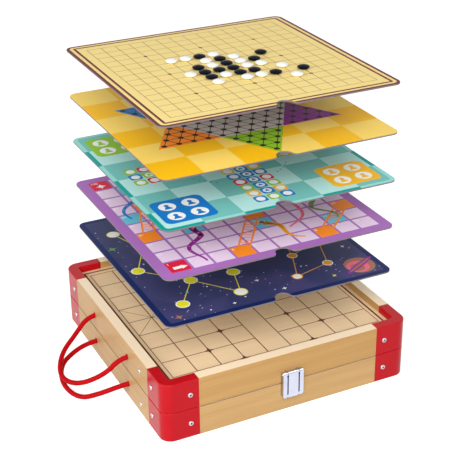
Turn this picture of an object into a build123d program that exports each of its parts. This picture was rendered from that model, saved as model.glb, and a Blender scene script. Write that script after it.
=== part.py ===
from build123d import *
import os

# Games compendium box.
#
# Two equal wooden trays are hinged at the back and clasped at the front. Each tray is four
# slats tenoned into red moulded corner pieces, with a thin panel let into all of them. The lid's
# panel sits below its rim, and five square game boards stack in that recess. The boards are
# modelled lifted off the box, one above the other, with the stones lying on the uppermost.
# The frame: X to the right, Y to the back, Z up, origin at the centre of the underside.

os.makedirs("parts", exist_ok=True)

# ------------------------------------------------------------------ driving sizes, millimetres
box_width = 290.0
box_depth = 290.0
half_height = 34.0              # each tray
split_gap = 0.4                 # air between the closed trays
wall = 12.0
slat_round = 0.7                # eased long edges of the slats

corner_arm = 40.0
corner_round = 13.0
corner_inner_round = 3.0
corner_edge_round = 1.0
corner_cheek = 3.0              # plastic outside the tenon
tenon_thickness = 4.5
tenon_length = 16.0
tenon_shoulder = 5.0
joint_clearance = 0.1           # tenons, panels and dividers in their slots

panel_thickness = 3.0
panel_seat = 3.5                # how far a panel runs into the walls
panel_round = 8.0
recess_depth = 8.2

divider_height = 25.0
cross_divider_thickness = 6.0
cross_divider_offset = 84.0     # in front of the box centre
small_divider_thickness = 4.0
small_divider_spacing = 90.0
housing_depth = 2.0
divider_screw_height = 9.0      # above the tray's panel
batten_size = 8.0

corner_screw_inset = 30.0
corner_screw_length = 7.0
wall_screw_length = 22.0
screw_shank_radius = 1.6
screw_head_radius = 2.7
screw_head_height = 1.3
screw_head_round = 0.9
screw_socket_radius = 1.25
screw_socket_depth = 2.0
screw_clearance = 0.2
pilot_clearance = 0.05

rope_radius = 2.6
rope_hole_clearance = 0.5
rope_hole_spacing = 98.0
rope_mouth_chamfer = 0.8
radius_tolerance = 1e-3         # for picking edges by their radius
knot_turn_radius = 2.5
knot_core_radius = 2.6
knot_tail = 5.0
knot_gap = 0.1

hinge_offset = 80.0             # each side of the box centre
hinge_width = 26.0
hinge_leaf_height = 15.0
hinge_leaf_thickness = 1.2
hinge_leaf_round = 2.0
hinge_knuckle_radius = 2.6
hinge_knuckle_gap = 0.3
hinge_pin_radius = 1.2
hinge_pin_clearance = 0.06
hinge_wall_gap = 0.35
hinge_screw_radius = 1.2
hinge_screw_head_radius = 2.2
hinge_screw_length = 8.0
hinge_screw_cross = 2.6
hinge_screw_slot = 0.6
hinge_screw_spacing = 14.0

latch_width = 24.0
latch_drop = 17.0               # from the split to the lever's lip
latch_pin_rise = 12.5           # from the split to the pin
latch_pin_radius = 1.0
latch_pin_clearance = 0.06
latch_pin_protrusion = 0.4      # each end of the pin, outside the lever
latch_sheet = 1.2
latch_depth = 7.0               # from the wall to the lever's face
latch_knuckle_radius = 2.7
latch_ear_radius = 2.1
latch_ear_clearance = 0.3       # each side of an ear in its slot
latch_side_depth = 3.4          # how far the cover's sides reach back from its face
latch_corner_round = 4.0
latch_chin = 1.2                # how far the lower edge bows down
latch_groove_width = 1.4
latch_groove_depth = 0.9
latch_groove_offset = 6.6
latch_groove_margin = 2.5
latch_lip_bulge = 3.0
latch_plate_width = 23.4
latch_plate_height = 12.6       # on the lid, low enough to lie behind the roll
latch_catch_height = 14.5       # on the base
latch_rail_width = 1.0
latch_rail_height = 1.2         # above the plate
latch_rail_gap = 0.5            # from a rail's end to the knuckle
latch_plate_margin = 0.5        # from the split to a plate's edge
latch_boss_depth = 2.6
latch_boss_height = 3.0
latch_boss_inset = 2.0          # from each side of the catch plate to the boss
latch_rib_height = 2.0
latch_rib_gap = 0.35
rivet_radius = 1.0
rivet_head_radius = 1.7
rivet_head_height = 0.5
rivet_length = 7.0
rivet_spacing = 9.0
rivet_edge_margin = 0.6         # from a rivet's head to the lid plate's edge
rivet_boss_margin = 0.4         # from a rivet's head to the catch's boss

board_size = 262.0
board_thickness = 1.5
board_round = 9.0
board_slack = 0.1               # air under each stacked board
notch_radius = 9.0
notch_depth = 12.0
notch_flare = 5.0
first_board_lift = 64.2         # the lowest board above its seat
board_spacing = 52.8            # from one lifted board to the next

grid_lines = 15
grid_pitch = 16.0
stone_radius = 6.4
stone_height = 4.4
stone_rim = 1.0
stone_foot_radius = 3.0
stone_gap = 0.1

# ------------------------------------------------------------------ derived sizes
left_face = -box_width / 2
front_face = -box_depth / 2
split_height = half_height
lid_bottom = half_height + split_gap
box_height = lid_bottom + half_height
recess_floor = box_height - recess_depth
lid_panel_bottom = recess_floor - panel_thickness
tray_bottoms = {"base": 0.0, "lid": lid_bottom}
panel_bottoms = {"base": 0.0, "lid": lid_panel_bottom}
tenon_height = half_height - 2 * tenon_shoulder
inner_half_width = box_width / 2 - wall
inner_half_depth = box_depth / 2 - wall
pilot_radius = screw_shank_radius + pilot_clearance
screw_hole_radius = screw_shank_radius + screw_clearance
cross_divider_y = -cross_divider_offset
wall_screw_heights = {
    "base": panel_thickness + divider_screw_height,
    "lid": lid_panel_bottom - batten_size / 2,
}
rope_hole_radius = rope_radius + rope_hole_clearance
rope_hole_heights = {half: tray_bottoms[half] + half_height / 2 for half in tray_bottoms}
hinge_axis_y = box_depth / 2 + hinge_wall_gap + hinge_knuckle_radius
hinge_axis_z = split_height + split_gap / 2
stack_pitch = board_thickness + board_slack

CENTRED_UP = (Align.CENTER, Align.MIN)


def wall_planes(bottom):
    """The outer face of each slat: x along the wall, y up, z out of the box."""
    return {
        "front": Plane(origin=(0, front_face, bottom), x_dir=(1, 0, 0), z_dir=(0, -1, 0)),
        "rear": Plane(origin=(0, -front_face, bottom), x_dir=(-1, 0, 0), z_dir=(0, 1, 0)),
        "left": Plane(origin=(left_face, 0, bottom), x_dir=(0, -1, 0), z_dir=(-1, 0, 0)),
        "right": Plane(origin=(-left_face, 0, bottom), x_dir=(0, 1, 0), z_dir=(1, 0, 0)),
    }


def wall_length(side):
    """The length of a slat between the two corner pieces."""
    outside = box_width if side in ("front", "rear") else box_depth
    return outside - 2 * corner_arm


def panel_sketch(height, growth=0.0):
    """A panel's outline at a height, with room round it where it is cut as a slot."""
    with BuildSketch(Plane.XY.offset(height)) as outline:
        RectangleRounded(
            box_width - 2 * (wall - panel_seat) + 2 * growth,
            box_depth - 2 * (wall - panel_seat) + 2 * growth,
            panel_round + growth,
        )
    return outline.sketch


panel_slots = {
    half: panel_sketch(panel_bottoms[half] - joint_clearance, joint_clearance) for half in panel_bottoms
}
slot_thickness = panel_thickness + 2 * joint_clearance


# ------------------------------------------------------------------ moulded corner pieces
def corner_piece(name, half, right, rear):
    """An L of moulded plastic with a mortise in each arm, made front left and mirrored."""
    bottom = tray_bottoms[half]
    slot_low = bottom + tenon_shoulder - joint_clearance
    slot_height = tenon_height + 2 * joint_clearance
    slot_width = tenon_thickness + 2 * joint_clearance
    slot_depth = tenon_length + joint_clearance
    middle = bottom + half_height / 2
    with BuildPart() as corner:
        with BuildSketch(Plane.XY.offset(bottom)):
            with Locations((left_face, front_face)):
                Rectangle(corner_arm, corner_arm, align=(Align.MIN, Align.MIN))
            with Locations((left_face + wall, front_face + wall)):
                Rectangle(corner_arm, corner_arm, align=(Align.MIN, Align.MIN), mode=Mode.SUBTRACT)
        extrude(amount=half_height)
        uprights = corner.edges().filter_by(Axis.Z)
        fillet(uprights.sort_by_distance((left_face, front_face, middle))[0], corner_round)
        uprights = corner.edges().filter_by(Axis.Z)
        inner_corner = (left_face + wall, front_face + wall, middle)
        fillet(uprights.sort_by_distance(inner_corner)[0], corner_inner_round)
        ends = corner.faces().filter_by(Axis.Z)
        fillet(ends.edges(), corner_edge_round)
        with Locations((left_face + corner_arm, front_face + corner_cheek - joint_clearance, slot_low)):
            Box(slot_depth, slot_width, slot_height, mode=Mode.SUBTRACT,
                align=(Align.MAX, Align.MIN, Align.MIN))
        with Locations((left_face + corner_cheek - joint_clearance, front_face + corner_arm, slot_low)):
            Box(slot_width, slot_depth, slot_height, mode=Mode.SUBTRACT,
                align=(Align.MIN, Align.MAX, Align.MIN))
        extrude(panel_slots[half], amount=slot_thickness, mode=Mode.SUBTRACT)
        faces = wall_planes(bottom)
        for side, half_length in (("front", -box_width / 2), ("left", box_depth / 2)):
            inset = corner_screw_inset if half_length < 0 else -corner_screw_inset
            with BuildSketch(faces[side]):
                with Locations((half_length + inset, half_height / 2)):
                    Circle(screw_hole_radius)
            extrude(amount=-corner_cheek, mode=Mode.SUBTRACT)
        if right:
            mirror(about=Plane.YZ, mode=Mode.REPLACE)
        if rear:
            mirror(about=Plane.XZ, mode=Mode.REPLACE)
    corner.part.label = name
    export_step(corner.part, f"parts/{name}.step")


for half in tray_bottoms:
    for rear, depth_word in ((False, "front"), (True, "rear")):
        for right, side_word in ((False, "left"), (True, "right")):
            corner_piece(f"{half}_corner_{depth_word}_{side_word}", half, right, rear)


# ------------------------------------------------------------------ wooden slats
def slat(half, side):
    """One wooden wall: a slat with a tenon at each end, slotted for the panel and drilled."""
    bottom = tray_bottoms[half]
    face = wall_planes(bottom)[side]
    length = wall_length(side)
    pilot_offset = length / 2 + corner_arm - corner_screw_inset
    with BuildPart() as board:
        with BuildSketch(face):
            Rectangle(length, half_height, align=CENTRED_UP)
        extrude(amount=-wall)
        long_edges = board.edges().filter_by(Axis(face.origin, face.x_dir))
        fillet(long_edges, slat_round)
        with BuildSketch(face.offset(-corner_cheek)):
            with Locations((0, tenon_shoulder)):
                Rectangle(length + 2 * tenon_length, tenon_height, align=CENTRED_UP)
        extrude(amount=-tenon_thickness)
        extrude(panel_slots[half], amount=slot_thickness, mode=Mode.SUBTRACT)
        with BuildSketch(face.offset(-corner_cheek)):
            with Locations((-pilot_offset, half_height / 2), (pilot_offset, half_height / 2)):
                Circle(pilot_radius)
        extrude(amount=-tenon_thickness, mode=Mode.SUBTRACT)
        if side in ("left", "right"):
            # the screw into the end of the cross divider or batten
            along = cross_divider_offset if side == "left" else -cross_divider_offset
            with BuildSketch(face):
                with Locations((along, wall_screw_heights[half] - bottom)):
                    Circle(screw_hole_radius)
            extrude(amount=-wall, mode=Mode.SUBTRACT)
        if side == "left":
            # the two holes for the rope, eased at both mouths
            with BuildSketch(face):
                with Locations((-rope_hole_spacing / 2, half_height / 2),
                               (rope_hole_spacing / 2, half_height / 2)):
                    Circle(rope_hole_radius)
            extrude(amount=-wall, mode=Mode.SUBTRACT)
            mouths = board.edges().filter_by(GeomType.CIRCLE)
            mouths = mouths.filter_by(lambda edge: abs(edge.radius - rope_hole_radius) < radius_tolerance)
            chamfer(mouths, rope_mouth_chamfer)
        if side == "front":
            # pilots for the rivets of the clasp's plate
            with BuildSketch(face):
                with Locations(*rivet_points(half, bottom)):
                    Circle(rivet_radius + pilot_clearance)
            extrude(amount=-rivet_length, mode=Mode.SUBTRACT)
        if side == "rear":
            # pilots for the hinge screws
            with BuildSketch(face):
                with Locations(*hinge_screw_points(half, bottom)):
                    Circle(hinge_screw_radius + pilot_clearance)
            extrude(amount=-hinge_screw_length, mode=Mode.SUBTRACT)
    name = f"{half}_{side}_wall"
    board.part.label = name
    export_step(board.part, f"parts/{name}.step")


def rivet_points(half, origin_height):
    """Rivet centres of a clasp plate, along the wall and above the given height."""
    plate_middle = latch_plate_margin + latch_catch_height / 2
    if half == "lid":
        height = lid_bottom + latch_plate_margin + rivet_edge_margin + rivet_head_radius
    else:
        boss_bottom = split_height - plate_middle - latch_boss_height / 2
        height = boss_bottom - rivet_boss_margin - rivet_head_radius
    return [(x, height - origin_height) for x in (-rivet_spacing / 2, rivet_spacing / 2)]


def hinge_screw_points(half, origin_height):
    """Hinge screw centres, along the wall and above the given height."""
    reach = hinge_knuckle_radius + (hinge_leaf_height - hinge_knuckle_radius) / 2
    height = hinge_axis_z + reach if half == "lid" else hinge_axis_z - reach
    return [
        (side * hinge_offset + shift, height - origin_height)
        for side in (-1, 1)
        for shift in (-hinge_screw_spacing / 2, hinge_screw_spacing / 2)
    ]


for half in tray_bottoms:
    for side in ("front", "rear", "left", "right"):
        slat(half, side)


# ------------------------------------------------------------------ panels
for half, panel_bottom in panel_bottoms.items():
    with BuildPart() as panel:
        extrude(panel_sketch(panel_bottom), amount=panel_thickness)
    panel.part.label = f"{half}_panel"
    export_step(panel.part, f"parts/{half}_panel.step")


# ------------------------------------------------------------------ dividers and batten
divider_length = 2 * inner_half_width - 2 * joint_clearance
with BuildPart() as divider_cross:
    with BuildSketch(Plane.XY.offset(panel_thickness)):
        with Locations((0, cross_divider_y)):
            Rectangle(divider_length, cross_divider_thickness)
        # housings for the small dividers: two behind, one in front
        housing_width = small_divider_thickness + 2 * joint_clearance
        rear_side = cross_divider_y + cross_divider_thickness / 2
        front_side = cross_divider_y - cross_divider_thickness / 2
        with Locations((-small_divider_spacing / 2, rear_side), (small_divider_spacing / 2, rear_side),
                       (0, front_side)):
            Rectangle(housing_width, 2 * housing_depth, mode=Mode.SUBTRACT)
    extrude(amount=divider_height)
    with BuildSketch(Plane.YZ.offset(-divider_length / 2)):
        with Locations((cross_divider_y, wall_screw_heights["base"])):
            Circle(pilot_radius)
    extrude(amount=divider_length, mode=Mode.SUBTRACT)
divider_cross.part.label = "divider_cross"
export_step(divider_cross.part, "parts/divider_cross.step")

small_dividers = {
    "divider_left": (-small_divider_spacing / 2, rear_side - housing_depth, inner_half_depth),
    "divider_right": (small_divider_spacing / 2, rear_side - housing_depth, inner_half_depth),
    "divider_front": (0.0, -inner_half_depth, front_side + housing_depth),
}
for name, (divider_x, divider_start, divider_end) in small_dividers.items():
    with BuildPart() as divider:
        with BuildSketch(Plane.XY.offset(panel_thickness)):
            with Locations((divider_x, (divider_start + divider_end) / 2)):
                Rectangle(small_divider_thickness, divider_end - divider_start - 2 * joint_clearance)
        extrude(amount=divider_height)
    divider.part.label = name
    export_step(divider.part, f"parts/{name}.step")

with BuildPart() as batten:
    with BuildSketch(Plane.XY.offset(lid_panel_bottom - batten_size)):
        with Locations((0, cross_divider_y)):
            Rectangle(divider_length, batten_size)
    extrude(amount=batten_size)
    with BuildSketch(Plane.YZ.offset(-divider_length / 2)):
        with Locations((cross_divider_y, wall_screw_heights["lid"])):
            Circle(pilot_radius)
    extrude(amount=divider_length, mode=Mode.SUBTRACT)
batten.part.label = "lid_batten"
export_step(batten.part, "parts/lid_batten.step")


# ------------------------------------------------------------------ screws in corners and walls
def pan_screw(shank_length):
    """A pan head screw with a hexagon socket, its seat at the origin and its head up."""
    with BuildPart() as screw:
        with BuildSketch(Plane.XZ) as half_section:
            with BuildLine():
                Polyline(
                    (0, -shank_length), (screw_shank_radius, -shank_length), (screw_shank_radius, 0),
                    (screw_head_radius, 0), (screw_head_radius, screw_head_height),
                    (0, screw_head_height), close=True,
                )
            make_face()
            head_corner = half_section.vertices().group_by(Axis.Y)[-1].sort_by(Axis.X)[-1]
            fillet(head_corner, screw_head_round)
        revolve(axis=Axis.Z)
        with BuildSketch(Plane.XY.offset(screw_head_height)):
            RegularPolygon(screw_socket_radius, 6)
        extrude(amount=-screw_socket_depth, mode=Mode.SUBTRACT)
    return screw.part


def fastener_group(name, blank, places):
    """Copies of one fastener as a single node; each place is a plane facing out of the wall."""
    with BuildPart() as group:
        with Locations(*places):
            add(blank)
    group.part.label = name
    export_step(group.part, f"parts/{name}.step")


def on_face(face, along, up):
    """The plane of a wall's outer face, moved to a point on it."""
    return Plane(origin=face.from_local_coords((along, up, 0)), x_dir=face.x_dir, z_dir=face.z_dir)


corner_screw = pan_screw(corner_screw_length)
wall_screw = pan_screw(wall_screw_length)
for half, bottom in tray_bottoms.items():
    faces = wall_planes(bottom)
    places = []
    for side, face in faces.items():
        reach = wall_length(side) / 2 + corner_arm - corner_screw_inset
        places += [on_face(face, along, half_height / 2) for along in (-reach, reach)]
    fastener_group(f"{half}_corner_screws", corner_screw, places)
    height = wall_screw_heights[half] - bottom
    places = [on_face(faces["left"], cross_divider_offset, height),
              on_face(faces["right"], -cross_divider_offset, height)]
    fastener_group(f"{half}_wall_screws", wall_screw, places)


# ------------------------------------------------------------------ rope handles and their knots
# Routes as (out of the wall, towards the back, above the holes); the two ends lie at the knots.
knot_seat = -wall - knot_gap
half_spacing = rope_hole_spacing / 2
rope_routes = {
    "base": [(knot_seat, half_spacing, 0), (8, half_spacing, 0), (29, 42, -2), (51, 26, -5), (60, -5, -10),
             (51, -34, -13), (30, -46, -5), (8, -half_spacing, 0), (knot_seat, -half_spacing, 0)],
    "lid": [(knot_seat, half_spacing, 0), (8, half_spacing, 0), (27, 39, -13), (51, 22, -23), (63, -7, -33),
            (51, -34, -30), (25, -50, -14), (8, -half_spacing, 0), (knot_seat, -half_spacing, 0)],
}


def bend_radii(points):
    """The largest tangent arc for each corner: 0.45 of its shorter run."""
    radii = []
    for before, here, after in zip(points, points[1:], points[2:]):
        run_in, run_out = here - before, after - here
        half_turn = run_in.get_angle(run_out) / 2
        shorter = min(run_in.length, run_out.length)
        radii.append(0.45 * shorter / tan_degrees(half_turn))
    return radii


def tan_degrees(angle):
    """The tangent of an angle in degrees."""
    spoke = Vector(1, 0, 0).rotate(Axis.Z, angle)
    return spoke.Y / spoke.X


for half, route in rope_routes.items():
    hole_height = rope_hole_heights[half]
    points = [Vector(left_face - out, back, hole_height + up) for out, back, up in route]
    radii = bend_radii(points)
    with BuildPart() as rope:
        with BuildLine() as path:
            FilletPolyline(*points, radius=radii)
        centre_line = path.wire()
        with BuildSketch(Plane(origin=centre_line @ 0, z_dir=centre_line % 0)):
            Circle(rope_radius)
        sweep()
    section = rope.part.volume / centre_line.length
    print(f"{half}_rope radii:", [round(radius, 1) for radius in radii],
          f"length {centre_line.length:.1f}, volume / length {section:.2f},",
          f"section {Face(Wire.make_circle(rope_radius)).area:.2f}")
    rope.part.label = f"{half}_rope"
    export_step(rope.part, f"parts/{half}_rope.step")

with BuildPart() as knot:
    # two turns of rope round a core, with the cut end standing out
    with BuildSketch(Plane.XZ) as knot_section:
        with Locations((knot_core_radius, knot_turn_radius),
                       (knot_core_radius, 3 * knot_turn_radius)):
            Circle(knot_turn_radius)
        Rectangle(knot_core_radius, 4 * knot_turn_radius + knot_tail, align=(Align.MIN, Align.MIN))
    revolve(axis=Axis.Z)
for half in tray_bottoms:
    seats = [Plane(origin=(left_face - knot_seat, back, rope_hole_heights[half]), z_dir=(1, 0, 0))
             for back in (-half_spacing, half_spacing)]
    fastener_group(f"{half}_rope_knots", knot.part, seats)


# ------------------------------------------------------------------ hinges
knuckle_length = (hinge_width - 2 * hinge_knuckle_gap) / 3
rear_face = box_depth / 2
for half in tray_bottoms:
    up = 1 if half == "lid" else -1
    with BuildPart() as leaves:
        for side in (-1, 1):
            centre_x = side * hinge_offset
            knuckle_shift = knuckle_length + hinge_knuckle_gap
            own = [centre_x] if half == "lid" else [centre_x - knuckle_shift, centre_x + knuckle_shift]
            other = [centre_x - knuckle_shift, centre_x + knuckle_shift] if half == "lid" else [centre_x]
            with BuildSketch(Plane(origin=(0, rear_face, hinge_axis_z), x_dir=(1, 0, 0), z_dir=(0, -1, 0))):
                with Locations((centre_x, 0)):
                    Rectangle(hinge_width, hinge_leaf_height,
                              align=(Align.CENTER, Align.MIN if up > 0 else Align.MAX))
            extrude(amount=-hinge_leaf_thickness)
            with Locations(*[(x, rear_face, hinge_axis_z) for x in other]):
                Box(knuckle_length + 2 * hinge_knuckle_gap,
                    2 * hinge_leaf_thickness, 2 * (hinge_knuckle_radius + hinge_knuckle_gap),
                    mode=Mode.SUBTRACT)
            with BuildSketch(*[Plane(origin=(x - knuckle_length / 2, hinge_axis_y, hinge_axis_z),
                                     z_dir=(1, 0, 0)) for x in own]):
                Circle(hinge_knuckle_radius)
            extrude(amount=knuckle_length)
            bore = hinge_pin_radius + hinge_pin_clearance
            with BuildSketch(Plane(origin=(centre_x - hinge_width / 2, hinge_axis_y, hinge_axis_z),
                                   z_dir=(1, 0, 0))):
                Circle(bore)
            extrude(amount=hinge_width, mode=Mode.SUBTRACT)
        outer_corners = leaves.edges().filter_by(Axis.Y)
        outer_corners = outer_corners.group_by(Axis.Z)[-1 if up > 0 else 0]
        fillet(outer_corners, hinge_leaf_round)
        screw_face = Plane(origin=(0, rear_face + hinge_leaf_thickness, 0), x_dir=(-1, 0, 0),
                           z_dir=(0, 1, 0))
        with Locations(*[on_face(screw_face, x, z) for x, z in hinge_screw_points(half, 0)]):
            CounterSinkHole(radius=hinge_screw_radius + pilot_clearance,
                            counter_sink_radius=hinge_screw_head_radius,
                            depth=hinge_leaf_thickness, counter_sink_angle=90)
    leaves.part.label = f"hinge_{half}_leaves"
    export_step(leaves.part, f"parts/hinge_{half}_leaves.step")

with BuildPart() as hinge_pins:
    with Locations(*[Plane(origin=(side * hinge_offset, hinge_axis_y, hinge_axis_z), z_dir=(1, 0, 0))
                     for side in (-1, 1)]):
        Cylinder(hinge_pin_radius, hinge_width)
hinge_pins.part.label = "hinge_pins"
export_step(hinge_pins.part, "parts/hinge_pins.step")

with BuildPart() as hinge_screw:
    # countersunk, the head flush with the leaf, with a cross recess
    head_radius = hinge_screw_head_radius - pilot_clearance
    cone_depth = head_radius - hinge_screw_radius
    with BuildSketch(Plane.XZ):
        with BuildLine():
            Polyline((0, -hinge_screw_length), (hinge_screw_radius, -hinge_screw_length),
                     (hinge_screw_radius, -cone_depth), (head_radius, 0), (0, 0), close=True)
        make_face()
    revolve(axis=Axis.Z)
    with BuildSketch(Plane.XY):
        Rectangle(hinge_screw_cross, hinge_screw_slot)
        Rectangle(hinge_screw_slot, hinge_screw_cross)
    extrude(amount=-hinge_screw_slot, mode=Mode.SUBTRACT)
for half in tray_bottoms:
    places = [on_face(screw_face, x, z) for x, z in hinge_screw_points(half, 0)]
    fastener_group(f"hinge_{half}_screws", hinge_screw.part, places)


# ------------------------------------------------------------------ clasp
lever_face_y = front_face - latch_depth
pin_y = lever_face_y + latch_knuckle_radius
pin_z = split_height + latch_pin_rise
lip_z = split_height - latch_drop
front_plane = Plane(origin=(0, front_face, 0), x_dir=(1, 0, 0), z_dir=(0, -1, 0))
rail_offset = (latch_plate_width - latch_rail_width) / 2


def railed_plate(bottom, top, rail_low, rail_high):
    """A plate on the front wall with a raised rail down each side."""
    with BuildPart() as plate:
        with BuildSketch(front_plane):
            with Locations((0, bottom)):
                Rectangle(latch_plate_width, top - bottom, align=CENTRED_UP)
        extrude(amount=latch_sheet)
        with BuildSketch(front_plane):
            with Locations((-rail_offset, rail_low), (rail_offset, rail_low)):
                Rectangle(latch_rail_width, rail_high - rail_low, align=CENTRED_UP)
        extrude(amount=latch_sheet + latch_rail_height)
    return plate.part


with BuildPart() as latch_plate:
    # on the lid: a plate with two ears that hold the pin, under the cover's grooves
    plate_bottom = lid_bottom + latch_plate_margin
    add(railed_plate(plate_bottom, plate_bottom + latch_plate_height,
                     plate_bottom, pin_z - latch_knuckle_radius - latch_rail_gap))
    ear_places = [x - latch_sheet / 2 for x in (-latch_groove_offset, latch_groove_offset)]
    with BuildSketch(*[Plane(origin=(x, pin_y, pin_z), z_dir=(1, 0, 0)) for x in ear_places]):
        Circle(latch_ear_radius)
    extrude(amount=latch_sheet)
    with Locations(*[(x, front_face, pin_z) for x in ear_places]):
        Box(latch_sheet, front_face - pin_y, 2 * latch_ear_radius,
            align=(Align.MIN, Align.MAX, Align.CENTER))
    with BuildSketch(Plane(origin=(-latch_plate_width / 2, pin_y, pin_z), z_dir=(1, 0, 0))):
        Circle(latch_pin_radius + latch_pin_clearance)
    extrude(amount=latch_plate_width, mode=Mode.SUBTRACT)
    with BuildSketch(front_plane):
        with Locations(*rivet_points("lid", 0)):
            Circle(rivet_radius + pilot_clearance)
    extrude(amount=latch_sheet, mode=Mode.SUBTRACT)
latch_plate.part.label = "latch_plate"
export_step(latch_plate.part, "parts/latch_plate.step")

with BuildPart() as latch_pin:
    with Locations(Plane(origin=(0, pin_y, pin_z), z_dir=(1, 0, 0))):
        Cylinder(latch_pin_radius, latch_width + 2 * latch_pin_protrusion)
latch_pin.part.label = "latch_pin"
export_step(latch_pin.part, "parts/latch_pin.step")

with BuildPart() as latch_catch:
    # on the base: a plate with a rounded boss that the lever snaps over
    catch_top = split_height - latch_plate_margin
    catch_bottom = catch_top - latch_catch_height
    boss_z = (catch_top + catch_bottom) / 2
    add(railed_plate(catch_bottom, catch_top, catch_bottom, catch_top))
    with BuildSketch(front_plane):
        with Locations((0, boss_z)):
            SlotOverall(latch_plate_width - 2 * latch_boss_inset, latch_boss_height)
    extrude(amount=latch_boss_depth)
    with BuildSketch(front_plane):
        with Locations(*rivet_points("base", 0)):
            Circle(rivet_radius + pilot_clearance)
    extrude(amount=latch_sheet, mode=Mode.SUBTRACT)
latch_catch.part.label = "latch_catch"
export_step(latch_catch.part, "parts/latch_catch.step")

inner_limit_y = front_face - latch_boss_depth - latch_rib_gap
inside_face_y = lever_face_y + latch_sheet
side_back_y = lever_face_y + latch_side_depth
inside_width = latch_width - 2 * latch_sheet
pocket_low = lip_z + latch_lip_bulge
pocket_high = pin_z - latch_knuckle_radius
slot_width = latch_sheet + 2 * latch_ear_clearance
with BuildPart() as latch_lever:
    # a pressed cover rolled round the pin at its top, with a blunt hooked lip at its foot
    with BuildSketch(Plane.YZ.offset(-latch_width / 2)):
        with Locations((pin_y, pin_z)):
            Circle(latch_knuckle_radius)
        with BuildLine():
            lip_top = (lever_face_y, pocket_low)
            lip_low = (inner_limit_y, lip_z)
            Polyline(lip_top, (lever_face_y, pin_z), (side_back_y, pin_z), (side_back_y, pocket_low),
                     (inner_limit_y, pocket_low), lip_low)
            TangentArc(lip_top, lip_low, tangent=(0, -1))
        make_face()
    extrude(amount=latch_width)
    # its outline from the front: round lower corners and a bowed lower edge
    with BuildSketch(Plane(origin=(0, lever_face_y, 0), x_dir=(1, 0, 0), z_dir=(0, -1, 0))) as outline:
        with BuildLine():
            half_width = latch_width / 2
            top_z = pin_z + latch_knuckle_radius
            chin_z = lip_z + latch_chin
            Polyline((-half_width, chin_z), (-half_width, top_z), (half_width, top_z), (half_width, chin_z))
            ThreePointArc((-half_width, chin_z), (0, lip_z), (half_width, chin_z))
        make_face()
        fillet(outline.vertices().group_by(Axis.Y)[0], latch_corner_round)
    extrude(amount=-2 * latch_depth, mode=Mode.INTERSECT)
    # hollow behind, from the lip up to the roll
    with Locations((0, inside_face_y, pocket_low)):
        Box(inside_width, latch_depth, pocket_high - pocket_low, mode=Mode.SUBTRACT,
            align=(Align.CENTER, Align.MIN, Align.MIN))
    # the rib that snaps under the boss
    rib_top = boss_z - latch_boss_height / 2 - latch_rib_gap
    with Locations((0, inside_face_y, rib_top)):
        Box(inside_width, inner_limit_y - inside_face_y, latch_rib_height,
            align=(Align.CENTER, Align.MIN, Align.MAX))
    # slots in the roll for the two ears, and the grooves that run down from them
    with Locations((-latch_groove_offset, pin_y, pocket_high), (latch_groove_offset, pin_y, pocket_high)):
        Box(slot_width, 2 * latch_depth, 3 * latch_knuckle_radius, mode=Mode.SUBTRACT,
            align=(Align.CENTER, Align.CENTER, Align.MIN))
    groove_low = pocket_low + latch_groove_margin
    with BuildSketch(Plane(origin=(0, lever_face_y, 0), x_dir=(1, 0, 0), z_dir=(0, -1, 0))):
        with Locations((-latch_groove_offset, groove_low), (latch_groove_offset, groove_low)):
            Rectangle(latch_groove_width, pocket_high - groove_low, align=CENTRED_UP)
    extrude(amount=-latch_groove_depth, mode=Mode.SUBTRACT)
    with BuildSketch(Plane(origin=(-latch_width / 2, pin_y, pin_z), z_dir=(1, 0, 0))):
        Circle(latch_pin_radius + latch_pin_clearance)
    extrude(amount=latch_width, mode=Mode.SUBTRACT)
latch_lever.part.label = "latch_lever"
export_step(latch_lever.part, "parts/latch_lever.step")

with BuildPart() as rivet:
    with BuildSketch(Plane.XZ):
        with BuildLine():
            Polyline((0, rivet_head_height), (0, -rivet_length), (rivet_radius, -rivet_length),
                     (rivet_radius, 0), (rivet_head_radius, 0))
            TangentArc((0, rivet_head_height), (rivet_head_radius, 0), tangent=(1, 0))
        make_face()
    revolve(axis=Axis.Z)
rivet_groups = {"latch_plate_rivets": "lid", "latch_catch_rivets": "base"}
for name, half in rivet_groups.items():
    seat = front_plane.offset(latch_sheet)
    places = [on_face(seat, x, z) for x, z in rivet_points(half, 0)]
    fastener_group(name, rivet.part, places)


# ------------------------------------------------------------------ game boards
board_names = ["star_board", "ladders_board", "ludo_board", "checkers_board", "gomoku_board"]
board_half = board_size / 2
first_bottom = recess_floor + board_slack + first_board_lift
for level, name in enumerate(board_names):
    bottom = first_bottom + level * board_spacing
    with BuildPart() as board:
        with BuildSketch(Plane.XY.offset(bottom)):
            RectangleRounded(board_size, board_size, board_round)
            # the finger notch: a round bite whose mouth flares into the edge
            with Locations((0, -board_half + notch_depth - notch_radius)):
                Circle(notch_radius, mode=Mode.SUBTRACT)
            with Locations((0, -board_half)):
                Rectangle(2 * notch_radius, 2 * (notch_depth - notch_radius), mode=Mode.SUBTRACT)
        extrude(amount=board_thickness)
        mouth = board.edges().filter_by(Axis.Z).group_by(Axis.Y)[0]
        fillet(mouth, notch_flare)
    board.part.label = name
    export_step(board.part, f"parts/{name}.step")
gomoku_top = bottom + board_thickness


# ------------------------------------------------------------------ stones
with BuildPart() as stone:
    # a lens with a narrow rim and a small flat foot
    with BuildSketch(Plane.XZ):
        with BuildLine():
            foot = (stone_foot_radius, 0)
            rim_low = (stone_radius, (stone_height - stone_rim) / 2)
            rim_high = (stone_radius, (stone_height + stone_rim) / 2)
            crown = (0, stone_height)
            Polyline(crown, (0, 0), foot)
            TangentArc(foot, rim_low, tangent=(1, 0))
            Line(rim_low, rim_high)
            TangentArc(crown, rim_high, tangent=(1, 0))
        make_face()
    revolve(axis=Axis.Z)

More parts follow.
